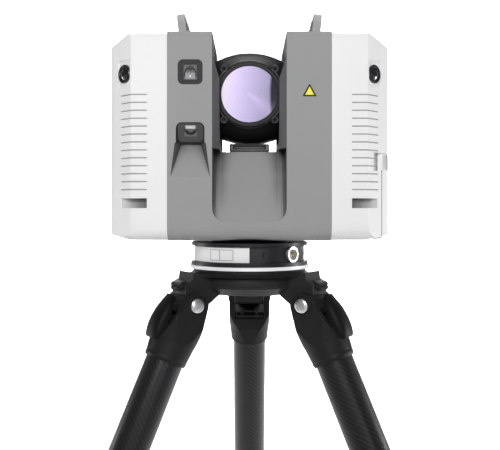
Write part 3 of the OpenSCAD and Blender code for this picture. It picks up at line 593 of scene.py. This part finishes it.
# Reference target: dark outline and slot
target = at(0, -22, 104.7, rx=FACE_FRONT)
finish_piece("target_outline", frame_bm(round_rect(35.4, 7.2, 1.3), round_rect(32.7, 4.7, 0.6), 0, 0.4),
             "head", "groove", target)
finish_piece("target_slot", frame_bm(round_rect(29.8, 3.4, 0.5), round_rect(29.0, 2.7, 0.4), 0, 0.25),
             "head", "bezel_dark", target @ Matrix.Translation((0, 0.3 * MM, 0)))


# ---- Rotor -----------------------------------------------------------------------------------------

def barrel_radius(x):
    return BARREL_R - BARREL_ARC + math.sqrt(BARREL_ARC * BARREL_ARC - x * x)


# Front plate over the barrel: a pillowed ring with an opening for the window
ROTOR_HALF, FLAT_Y = 29.3, 32.0      # half width of the plate, and how far forward its flat lies
SCREW_OUT = 22.4                     # the screws, sideways and up or down from the axis
bm = bmesh.new()
TURNS = 144
RINGS = ((28.2, -1.2), (28.2, 0.0), (28.45, 0.55), (29.1, 0.95), (29.9, 1.05), (30.7, 0.85),
         (31.25, 0.35), (31.5, -1.2))
rows = []
for i in range(TURNS):
    a = 2 * math.pi * i / TURNS
    row = []
    for r, off in RINGS:
        reach = min(r, ROTOR_HALF / max(abs(math.cos(a)), 1e-6))
        x, z = reach * math.cos(a), reach * math.sin(a)
        deep = math.sqrt(max(barrel_radius(x) ** 2 - z * z, 1.0))
        y = min(deep, FLAT_Y) + (off if reach == r else min(off, 0.3))
        row.append(bm.verts.new((x * MM, -y * MM, AXIS_Z + z * MM)))
    rows.append(row)
for i in range(TURNS):
    r0, r1 = rows[i], rows[(i + 1) % TURNS]
    for j in range(len(RINGS)):
        k = (j + 1) % len(RINGS)
        bm.faces.new((r0[j], r1[j], r1[k], r0[k]))
finish_piece("rotor_front_plate", bm, "rotor", "plate_satin")
facing = at(0, -33, AXIS_H, rx=FACE_FRONT)
# Black ring inside the plate, a raised line round the window, and a dished seat round each screw
trim = [(25.35, -0.9), (25.35, -0.2), (25.7, -0.05), (28.0, -0.05), (28.3, -0.3), (28.3, -0.9)]
line = [(24.7, -0.8), (24.75, 0.0), (25.1, 0.12), (25.4, 0.0), (25.4, -0.8)]
for name, ring in (("window_trim", trim), ("window_line", line)):
    finish_piece(name, ring_bm(ring, TURNS), "rotor", "rotor_black", facing)
seat = [(2.0, -3.0), (2.0, 0.3), (2.45, 0.75), (2.9, 0.8), (3.2, 0.5), (3.3, -3.0)]
head = [(0.75, -3.0), (0.75, -0.2), (1.0, 0.05), (1.6, 0.05), (1.9, -0.15), (2.0, -3.0)]
seats, heads = bmesh.new(), bmesh.new()
for x in (-SCREW_OUT, SCREW_OUT):
    for z in (-SCREW_OUT, SCREW_OUT):
        m = at(x, -32.3, AXIS_H + z, rx=FACE_FRONT)
        ring_bm(seat, 40, bm=seats, matrix=m)
        ring_bm(head, 32, bm=heads, matrix=m)
finish_piece("screw_seats", seats, "rotor", "seat_edge")
finish_piece("screw_heads", heads, "rotor", "groove")

# Rear cover of the rotor: a balance disc
back = at(0, 0, AXIS_H, rx=-90)
disc = [(0, 38.5), (15, 38.5), (17.6, 37.9), (17.8, 40.3), (17.2, 41.4), (10, 42.3), (0, 42.4)]
finish_piece("balance_cover", cap_bm(disc, 72), "rotor", "rotor_black", back)


# ---- Base and socket -------------------------------------------------------------------------------

def band_point(angle, z, r):
    a = math.radians(angle)
    return Vector((r * MM * math.cos(a), r * MM * math.sin(a), BASE + z * MM))


def band_frame(bm, a0, a1, z0, z1, line=0.32, r=50.62):
    """A printed outline on the curved label: four thin strips."""
    da = math.degrees(line / r)
    for b0, b1, y0, y1 in ((a0, a1, z0, z0 + line), (a0, a1, z1 - line, z1),
                           (a0, a0 + da, z0, z1), (a1 - da, a1, z0, z1)):
        steps = max(1, int(abs(b1 - b0) / 3))
        prev = None
        for i in range(steps + 1):
            a = b0 + (b1 - b0) * i / steps
            row = [bm.verts.new(band_point(a, z, rr)) for rr in (r - 0.12, r) for z in (y0, y1)]
            if prev:
                for p, q in ((0, 1), (1, 3), (3, 2), (2, 0)):
                    bm.faces.new((prev[p], row[p], row[q], prev[q]))
            else:
                bm.faces.new((row[0], row[1], row[3], row[2]))
            prev = row
        bm.faces.new((prev[0], prev[1], prev[3], prev[2]))
    return bm


# Blank fields of the type label
bm = band_frame(bmesh.new(), 228, 239.5, 5.6, 15.0)
band_frame(bm, 239.2, 254, 5.6, 15.0)
finish_piece("label_fields", bm, "tripod_head", "ink")

BAND_R, BAND_H = 50.2, 10.4          # the base ring's face, and the height of its middle
SOCKET_TURN = math.radians(46.8)     # from the front towards the right
socket = Matrix.Rotation(SOCKET_TURN, 4, "Z") @ at(0, -BAND_R, BAND_H, rx=FACE_FRONT)
socket.translation = Matrix.Rotation(SOCKET_TURN, 3, "Z") @ Vector((0, -BAND_R * MM, 0)) \
    + Vector((0, 0, BASE + BAND_H * MM))
NOTCHES, NOTCH_STEPS = 12, 6
nut = ring_bm([(6.55, -1.2), (6.55, 1.9, 1), (6.0, 2.9, 1), (4.95, 2.9), (4.95, -1.2)],
              NOTCH_STEPS * NOTCHES, wave=lambda i: -0.75 if i % NOTCH_STEPS in (0, 1) else 0.0)
finish_piece("socket_nut", nut, "tripod_head", "nut_metal", socket, bevel=0.12)
gasket = ring_bm(hollow_ring(6.5, 7.5, -1.6, 0.5, 0.3), 72)
finish_piece("socket_gasket", gasket, "tripod_head", "insulator", socket)
pins = bmesh.new()
for i in range(5):
    a = math.radians(72 * i)
    cap_bm([(0, -3.6), (0.95, -3.6), (0.95, -2.4), (0.6, -2.1), (0.0, -2.05)], 20, pins,
           Matrix.Translation((2.6 * MM * math.cos(a), 2.6 * MM * math.sin(a), 0)))
finish_piece("socket_contacts", pins, "tripod_head", "contacts", socket)

# Grub screws, joint line and seal round the base
screws = bmesh.new()
grub = [(1.1, -1.0), (1.1, 0.05), (1.35, 0.2), (1.9, 0.2), (2.0, 0.0), (2.0, -1.0)]
for a in (285, 345, 45, 105, 165):
    m = Matrix.Translation(band_point(a, BAND_H, BAND_R)) @ Matrix.Rotation(math.radians(a), 4, "Z") \
        @ Matrix.Rotation(math.radians(90), 4, "Y")
    ring_bm(grub, 24, bm=screws, matrix=m)
finish_piece("base_screws", screws, "tripod_head", "screw_black")
on_base = Matrix.Translation((0, 0, BASE))
groove = ring_bm([(50.05, 16.3), (50.32, 16.4), (50.32, 16.9), (50.05, 17.0)], 128)
finish_piece("base_groove", groove, "tripod_head", "groove", on_base)
seal = ring_bm([(31.5, 20.6), (34.5, 20.9), (35.5, 21.8), (34.5, 22.9), (31.5, 22.9)], 96)
finish_piece("neck_seal", seal, "head", "groove", on_base)


# ---- Tripod head -----------------------------------------------------------------------------------

def spoke(azimuth, z=0.0):
    """+X out along a leg's azimuth, +Z up, at the bottom of the scanner's base."""
    return Matrix.Translation((0, 0, BASE + z * MM)) @ Matrix.Rotation(math.radians(azimuth), 4, "Z")


SIDEWAYS = Matrix.Rotation(math.radians(90), 4, "X")    # turns an XY outline into an XZ one, drawn along Y

for leg, az in LEGS.items():
    # Serrated stop under the nose of each arm
    arm = spoke(az)
    teeth = bmesh.new()
    tooth = [(71.6, -20.8), (73.2, -17.9), (75.3, -17.0), (76.2, -17.8), (75.2, -20.4), (73.2, -21.4)]
    for k in range(-2, 3):
        prism_bm(tooth, k * 3.3 - 0.95, k * 3.3 + 0.95, teeth, arm @ SIDEWAYS)
    finish_piece("stop_teeth_" + leg, teeth, "tripod_head", "hub", bevel=0.25)

# Raised arches between the arms, under the rim
arch = [(47.5, -20.5), (50.9, -17.2), (51.2, -11.0), (50.2, -9.2), (47, -9.2)]
ARCH_SWEEP = 68
for k, az in enumerate((30, 150, 270)):
    rib = ring_bm(arch, 32, start=az - ARCH_SWEEP / 2, sweep=ARCH_SWEEP, matrix=on_base)
    finish_piece("rim_arch_%d" % (k + 1), rib, "tripod_head", "hub", bevel=0.9)
groove = ring_bm([(51.3, -4.4), (51.75, -4.3), (51.75, -3.9), (51.3, -3.8)], 128)
finish_piece("plate_groove", groove, "tripod_head", "groove", on_base)
THREAD_DROP = 27
thread_ring = ring_bm(hollow_ring(4.8, 8.6, -1.0, 0.6, 0.3), 64)
finish_piece("thread_ring", thread_ring, "tripod_head", "steel",
             Matrix.Translation((0, 0, BASE - THREAD_DROP * MM)) @ Matrix.Rotation(math.pi, 4, "X"))


# ---- Legs ------------------------------------------------------------------------------------------

LEG_LENGTH = (BASE - PIVOT_DROP * MM) / math.cos(SPREAD) / MM
COLLARS = {"upper": (16.45, 14.45, LEG_LENGTH - 130, LEG_LENGTH - 92),
           "lower": (14.45, 12.45, LEG_LENGTH - 90, LEG_LENGTH - 54)}
# Angle tab down the leg: height, reach from the leg's axis, half width, inner side
TAB_SECTIONS = ((1.0, 20.2, 5.4, 15.8), (0.2, 20.9, 6.6, 15.8), (-4.0, 22.1, 8.6, 15.8),
                (-9.0, 23.6, 10.4, 15.8), (-14.0, 24.9, 11.4, 15.8), (-20.4, 25.8, 11.9, 15.9),
                (-21.6, 25.9, 12.0, 16.4), (-27.0, 25.9, 12.0, 17.2), (-32.0, 25.4, 11.6, 18.0),
                (-36.0, 24.5, 10.9, 18.9), (-38.0, 23.6, 9.9, 19.2), (-38.8, 22.7, 8.6, 19.4))
TAB_CROWN, TAB_SIDES = 0.62, 0.86    # how square a section is across its face and at its sides
# Caps and seats of the pivot bolt, and the rim of a casting: distance from the middle of the bolt or leg
CAP_R, CAP_BRIM = 6.3, 20.6
PIVOT_DOME = [(0, 18.7), (CAP_R, 18.7), (CAP_R, CAP_BRIM)]
PIVOT_DOME += [(CAP_R * math.cos(math.radians(a)), CAP_BRIM + 1.9 * math.sin(math.radians(a)))
               for a in range(15, 90, 15)]
PIVOT_DOME += [(0, CAP_BRIM + 1.9)]
PIVOT_SEAT = [(6.75, 18.9), (6.8, 20.2), (7.3, 20.9), (8.3, 20.9), (9.0, 20.2), (9.2, 18.9)]
CASTING_RIM = [(16.6, -53.2), (16.6, -47.5), (18.3, -47.5), (18.75, -48.2), (18.75, -51.0), (17.7, -53.2)]
# Parts of the lock in the fork, each an outline and half its width; two posts stand TO_POST from the middle
POST = [(-13.4, -10.5), (-9.6, -12.6), (-9.6, -19.0), (-13.8, -19.0)]
TO_POST, POST_HALF = 7.2, 1.5
LOCK_BARS = (([(-13.2, -13.2), (-9.6, -13.2), (-9.6, -15.4), (-13.4, -15.4)], 5.8),
             ([(-14.4, -18.2), (-9.0, -18.2), (-9.0, -20.8), (-14.8, -20.8)], 13.6),
             ([(-15.0, -22.2), (-11.0, -22.2), (-11.0, -24.4), (-15.2, -24.4)], 4.0))
RIDGE = [(16.6, 0.4), (20.0, 0.4), (20.2, 1.5), (19.4, 1.9), (16.8, 1.7)]
FOOT_TIP = [(0, 3.0), (9.0, 3.0), (15.2, 0.05), (15.6, 0.05), (16.3, 2.2), (16.4, 5.0), (16.2, 8.0),
            (15.9, 12.0), (9.0, 12.0), (0, 12.0)]


def tab_section(z, reach, half, inner):
    """A D-shaped section of the angle tab, flat against the casting and crowned outside."""
    row = []
    for a in range(-90, 91, 10):
        out = math.cos(math.radians(a)) ** TAB_CROWN if abs(a) < 90 else 0.0
        across = math.copysign(abs(math.sin(math.radians(a))) ** TAB_SIDES, a)
        row.append((inner + (reach - inner) * out, half * across, z))
    return row


for leg, az in LEGS.items():
    m = leg_matrix(az)
    body = leg + "_leg"
    # Domed caps of the pivot bolt
    for s in (-1, 1):
        turn = Matrix.Rotation(math.radians(-90 * s), 4, "X")
        tag = leg + ("_a" if s < 0 else "_b")
        finish_piece("pivot_cap_" + tag, cap_bm(PIVOT_DOME, 48), "tripod_head", "chrome", m @ turn)
        finish_piece("pivot_seat_" + tag, ring_bm(PIVOT_SEAT, 48), body, "casting_black",
                     m @ turn)
    # Lock inside the fork, clear of the pivot: two posts, a bar between them, a plate below and a foot
    lock = bmesh.new()
    for middle in (-TO_POST, TO_POST):
        prism_bm(POST, middle - POST_HALF, middle + POST_HALF, lock, m @ SIDEWAYS)
    for outline, half in LOCK_BARS:
        prism_bm(outline, -half, half, lock, m @ SIDEWAYS)
    finish_piece("fork_lock_" + leg, lock, body, "hub", bevel=0.35)
    rim = ring_bm(CASTING_RIM, 96)
    finish_piece("casting_rim_" + leg, rim, body, "casting_black", m)
    # Tab: a crowned grip that stands for the plain one, narrow at its serrated top
    crowned = loft_bm([tab_section(*row) for row in TAB_SECTIONS], matrix=m)
    grip = finish_piece("tab_grip_" + leg, crowned, leg + "_tab", "tab_black")
    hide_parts(leg + "_angle_tab")
    serrated = bmesh.new()
    for k in range(-2, 3):
        prism_bm(RIDGE, k * 2.1 - 0.6, k * 2.1 + 0.6, serrated, m @ SIDEWAYS)
    finish_piece("tab_ridges_" + leg, serrated, leg + "_tab", "tab_black", bevel=0.2)
    # Twist collars: a ribbed rubber grip between two plain rims
    for part, (r_top, r_low, l0, l1) in COLLARS.items():
        owner = "%s_%s_lock" % (leg, part)
        grip = r_top + 4.5
        ribs = ring_bm([(grip - 1.0, -l0 - 3), (grip + 0.15, -l0 - 3.4, 1), (grip + 0.5, -l0 - 5, 1),
                        (grip + 0.5, -l1 + 9, 1), (grip + 0.15, -l1 + 7.6, 1), (grip - 1.0, -l1 + 7.4)],
                       120, wave=lambda i: 0.45 if i % 5 in (1, 2, 3) else 0.0)
        finish_piece("%s_grip_%s" % (part, leg), ribs, owner, "collar_rubber", m)
        nose = ring_bm([(r_low + 0.15, -l1 + 0.2), (r_low + 0.15, -l1 + 5), (r_low + 4.0, -l1 + 5),
                        (r_low + 3.4, -l1 + 2.2), (r_low + 2.7, -l1 + 0.2)], 96)
        finish_piece("%s_nose_%s" % (part, leg), nose, owner, "casting_black", m)
    # Foot: rubber boot with rings over the tip of the lower tube, flat where it stands
    profile = [(12.5, -LEG_LENGTH + 51.0), (15.9, -LEG_LENGTH + 50.6), (16.2, -LEG_LENGTH + 49.6)]
    for k in range(7):
        top_l = LEG_LENGTH - 47.5 + k * 4.6
        profile += [(16.2, -top_l), (15.6, -top_l - 0.8), (15.6, -top_l - 1.6), (16.2, -top_l - 2.4)]
    profile += [(16.1, -LEG_LENGTH + 13), (15.4, -LEG_LENGTH + 12.4), (12.5, -LEG_LENGTH + 12.4)]
    boot = ring_bm(profile, 96)
    finish_piece("foot_boot_" + leg, boot, leg + "_lower", "boot_rubber", m)
    foot = m @ Vector((0, 0, -LEG_LENGTH * MM))
    tip = cap_bm(FOOT_TIP, 64, matrix=Matrix.Translation((foot.x, foot.y, 0)))
    finish_piece("foot_tip_" + leg, tip, leg + "_lower", "boot_rubber")


# ---- Stage, lights and camera ----------------------------------------------------------------------

def stage_sheet():
    """A pale floor that curves up into a backdrop behind the object."""
    profile = [(-14.0, 0.0), (-2.0, 0.0), (0.0, 0.0), (2.0, 0.0), (3.6, 0.0)]
    profile += [(3.6 + 1.2 * math.sin(math.radians(a)), 1.2 - 1.2 * math.cos(math.radians(a)))
                for a in range(10, 100, 10)] + [(4.8, 6.0)]
    bm = bmesh.new()
    rows = [[bm.verts.new((x, y, z)) for x in (-12.0, -4.0, 0.0, 4.0, 12.0)] for y, z in profile]
    for r0, r1 in zip(rows, rows[1:]):
        for i in range(4):
            bm.faces.new((r0[i], r0[i + 1], r1[i + 1], r1[i]))
    mesh = bpy.data.meshes.new("floor")
    bm.to_mesh(mesh)
    bm.free()
    for p in mesh.polygons:
        p.use_smooth = True
    floor = bpy.data.objects.new("floor", mesh)
    bpy.context.scene.collection.objects.link(floor)
    mesh.materials.append(surface("floor_white", (0.9, 0.9, 0.9), 0.8, patch=0.004))


stage_sheet()

world = bpy.data.worlds.new("studio")
bpy.context.scene.world = world
world.use_nodes = True
world.node_tree.nodes["Background"].inputs[0].default_value = (1, 1, 1, 1)
world.node_tree.nodes["Background"].inputs[1].default_value = 0.11


def area_light(name, place, target, size, power, size_y=None, spread=180):
    data = bpy.data.lights.new(name, "AREA")
    data.energy = power
    data.size = size
    data.spread = math.radians(spread)
    if size_y:
        data.shape, data.size_y = "RECTANGLE", size_y
    lamp = bpy.data.objects.new(name, data)
    bpy.context.scene.collection.objects.link(lamp)
    lamp.location = place
    lamp.rotation_euler = (Vector(target) - Vector(place)).to_track_quat("-Z", "Y").to_euler()
    lamp.visible_camera = False
    return lamp


HEAD = (0, 0, 0.60)
area_light("key", (-0.09, -0.88, 0.88), HEAD, 0.34, 5.7)
area_light("front_right", (0.62, -1.6, 0.56), HEAD, 0.5, 1.8)
area_light("rim_left", (-1.5, 0.5, 0.25), (0, 0, 0.25), 0.2, 0.8, 0.6, 60)
area_light("rim_right", (1.5, 0.3, 0.25), (0, 0, 0.25), 0.2, 1.8, 0.6, 60)
area_light("top", (0, 0.1, 2.6), HEAD, 1.0, 4.5)
area_light("backdrop_floor", (0, 2.5, 3.0), (0, 2.5, 0), 3.0, 100, 4.0, 60)
area_light("backdrop_wall", (0, 2.0, 3.2), (0, 4.8, 1.2), 3.6, 110, 1.4, 60)

# Lamps that face straight down beside and in front of the object, out of its reach, for the floor alone
for tag, x, y, wide, deep, power in (("front", 0, -6.8, 12.0, 5.6, 230),
                                     ("left", -6.6, 0.4, 5.4, 6.4, 120),
                                     ("right", 6.6, 0.4, 5.4, 6.4, 120)):
    area_light("floor_" + tag, (x, y, 3.6), (x, y, 0), wide, power, deep, 70)

camera_data = bpy.data.cameras.new("camera")
camera = bpy.data.objects.new("camera", camera_data)
bpy.context.scene.collection.objects.link(camera)
camera.location = (0, -0.7, BASE + 49.3 * MM)
camera.rotation_euler = (math.radians(90), 0, 0)
camera_data.sensor_width = 36
camera_data.lens = 54.72
camera_data.shift_x = 0.0012
camera_data.shift_y = -0.03
camera_data.clip_start = 0.05
bpy.context.scene.camera = camera
